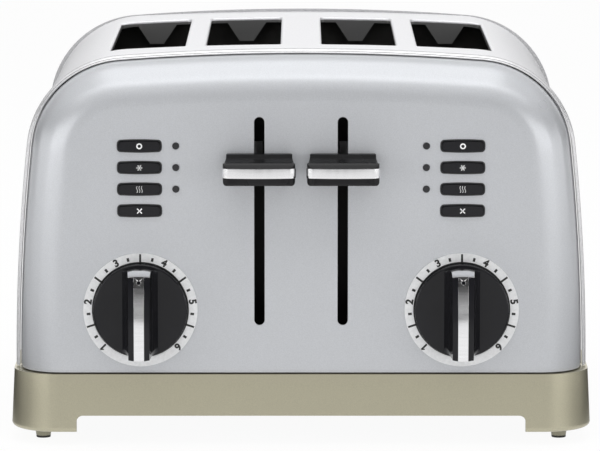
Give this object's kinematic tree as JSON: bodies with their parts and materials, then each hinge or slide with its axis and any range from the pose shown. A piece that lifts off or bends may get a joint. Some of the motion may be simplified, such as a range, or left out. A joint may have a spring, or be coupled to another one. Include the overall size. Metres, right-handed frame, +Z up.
{
  "type": "toaster",
  "caption": "Four-slice toaster: arched painted body with bread slots in the top, two carriage levers, dial knobs, push buttons, champagne base on feet and a pull-out crumb tray",
  "frame": {"origin": "on the table, under the middle of the toaster's overall box", "axes": "+X to the right seen from the levers, +Y from the levers to the back, +Z up"},
  "size_m": [0.2702, 0.2752, 0.1824],
  "materials": {
    "silver_grey_paint": "satin silver-grey paint",
    "white_silver_paint": "satin pale silver paint",
    "champagne_paint": "champagne metallic paint",
    "polished_trim": "polished",
    "chrome_strip": "bright chrome",
    "dial_silver": "fine satin with printed marks",
    "gloss_black": "glossy",
    "black_moulding": "matt",
    "black_rubber": "matt",
    "smoked_lens": "smoked, clear gloss",
    "galvanised_steel": "bright zinc plate",
    "ribbon_steel": "dull resistance ribbon",
    "spring_steel": "bright wire",
    "magnet_steel": "laminated core and coil",
    "mica": "dull mica sheet",
    "circuit_board": "green laminate"
  },
  "bodies": {
    "housing": {"back_chassis_plate": "galvanised_steel", "back_panel": "silver_grey_paint", "back_rim_trim": "polished_trim", "base_plate": "galvanised_steel", "base_screws": "galvanised_steel", "base_skirt": "champagne_paint", "body_wrap": "white_silver_paint", "browning_controls": "black_moulding", "button_frames": "black_moulding", "control_boards": "circuit_board", "control_nuts": "polished_trim", "cord_grommet": "black_rubber", "dial_rings": "dial_silver", "feet": "champagne_paint", "foot_tips": "black_rubber", "front_chassis_plate": "galvanised_steel", "front_panel": "silver_grey_paint", "front_rim_trim": "polished_trim", "guide_rods": "galvanised_steel", "heater_boards": "mica", "heating_ribbons": "ribbon_steel", "indicator_lenses": "smoked_lens", "latch_magnets": "magnet_steel", "left_lift_spring": "spring_steel", "oven_top_frame": "galvanised_steel", "right_lift_spring": "spring_steel", "rod_top_bracket": "galvanised_steel", "side_heat_shields": "galvanised_steel", "terminal_block": "black_moulding"},
    "left_lift": {"left_carriage": "galvanised_steel", "left_lever": "gloss_black", "left_lever_band": "chrome_strip", "bread_rack_1": "galvanised_steel", "bread_rack_2": "galvanised_steel"},
    "left_inner_guard_set": {"left_inner_guards": "galvanised_steel"},
    "left_outer_guard_set": {"left_outer_guards": "galvanised_steel"},
    "left_dial": {"left_knob": "gloss_black", "left_knob_strip": "chrome_strip", "left_knob_shaft": "galvanised_steel"},
    "left_key_1": {"left_button_1": "gloss_black"},
    "left_key_2": {"left_button_2": "gloss_black"},
    "left_key_3": {"left_button_3": "gloss_black"},
    "left_key_4": {"left_button_4": "gloss_black"},
    "right_lift": {"right_carriage": "galvanised_steel", "right_lever": "gloss_black", "right_lever_band": "chrome_strip", "bread_rack_3": "galvanised_steel", "bread_rack_4": "galvanised_steel"},
    "right_inner_guard_set": {"right_inner_guards": "galvanised_steel"},
    "right_outer_guard_set": {"right_outer_guards": "galvanised_steel"},
    "right_dial": {"right_knob": "gloss_black", "right_knob_strip": "chrome_strip", "right_knob_shaft": "galvanised_steel"},
    "right_key_1": {"right_button_1": "gloss_black"},
    "right_key_2": {"right_button_2": "gloss_black"},
    "right_key_3": {"right_button_3": "gloss_black"},
    "right_key_4": {"right_button_4": "gloss_black"},
    "tray": {"crumb_tray": "galvanised_steel", "crumb_tray_handle": "black_moulding"}
  },
  "joints": [
    {"name": "left_lever_slide", "type": "slide", "parent": "housing", "child": "left_lift", "axis": [0, 0, 1], "range_m": [-0.066, 0.018], "stiffness_N_per_m": 60, "springref_m": 0.0167, "deforming": ["left_lift_spring"]},
    {"name": "left_inner_guard_slide", "type": "slide", "parent": "housing", "child": "left_inner_guard_set", "axis": [1, 0, 0], "range_m": [-0.00441, 0.00121]},
    {"name": "left_outer_guard_slide", "type": "slide", "parent": "housing", "child": "left_outer_guard_set", "axis": [1, 0, 0], "range_m": [-0.00121, 0.00441]},
    {"name": "left_knob_turn", "type": "hinge", "parent": "housing", "child": "left_dial", "pos_m": [-0.07415, -0.11335, 0.0635], "axis": [0, 1, 0], "range_deg": [-135, 135]},
    {"name": "left_button_1_press", "type": "slide", "parent": "housing", "child": "left_key_1", "axis": [0, 1, 0], "range_m": [0, 0.0015], "stiffness_N_per_m": 400},
    {"name": "left_button_2_press", "type": "slide", "parent": "housing", "child": "left_key_2", "axis": [0, 1, 0], "range_m": [0, 0.0015], "stiffness_N_per_m": 400},
    {"name": "left_button_3_press", "type": "slide", "parent": "housing", "child": "left_key_3", "axis": [0, 1, 0], "range_m": [0, 0.0015], "stiffness_N_per_m": 400},
    {"name": "left_button_4_press", "type": "slide", "parent": "housing", "child": "left_key_4", "axis": [0, 1, 0], "range_m": [0, 0.0015], "stiffness_N_per_m": 400},
    {"name": "right_lever_slide", "type": "slide", "parent": "housing", "child": "right_lift", "axis": [0, 0, 1], "range_m": [-0.066, 0.018], "stiffness_N_per_m": 60, "springref_m": 0.0167, "deforming": ["right_lift_spring"]},
    {"name": "right_inner_guard_slide", "type": "slide", "parent": "housing", "child": "right_inner_guard_set", "axis": [1, 0, 0], "range_m": [-0.00121, 0.00441]},
    {"name": "right_outer_guard_slide", "type": "slide", "parent": "housing", "child": "right_outer_guard_set", "axis": [1, 0, 0], "range_m": [-0.00441, 0.00121]},
    {"name": "right_knob_turn", "type": "hinge", "parent": "housing", "child": "right_dial", "pos_m": [0.07415, -0.11335, 0.0635], "axis": [0, 1, 0], "range_deg": [-135, 135]},
    {"name": "right_button_1_press", "type": "slide", "parent": "housing", "child": "right_key_1", "axis": [0, 1, 0], "range_m": [0, 0.0015], "stiffness_N_per_m": 400},
    {"name": "right_button_2_press", "type": "slide", "parent": "housing", "child": "right_key_2", "axis": [0, 1, 0], "range_m": [0, 0.0015], "stiffness_N_per_m": 400},
    {"name": "right_button_3_press", "type": "slide", "parent": "housing", "child": "right_key_3", "axis": [0, 1, 0], "range_m": [0, 0.0015], "stiffness_N_per_m": 400},
    {"name": "right_button_4_press", "type": "slide", "parent": "housing", "child": "right_key_4", "axis": [0, 1, 0], "range_m": [0, 0.0015], "stiffness_N_per_m": 400},
    {"name": "crumb_tray_slide", "type": "slide", "parent": "housing", "child": "tray", "axis": [0, 1, 0], "range_m": [0, 0.19]}
  ],
  "couplings": [
    {"joint": "left_inner_guard_slide", "follows": "left_lever_slide", "ratio": 0.066667},
    {"joint": "left_outer_guard_slide", "follows": "left_lever_slide", "ratio": -0.066667},
    {"joint": "right_inner_guard_slide", "follows": "right_lever_slide", "ratio": -0.066667},
    {"joint": "right_outer_guard_slide", "follows": "right_lever_slide", "ratio": 0.066667}
  ]
}
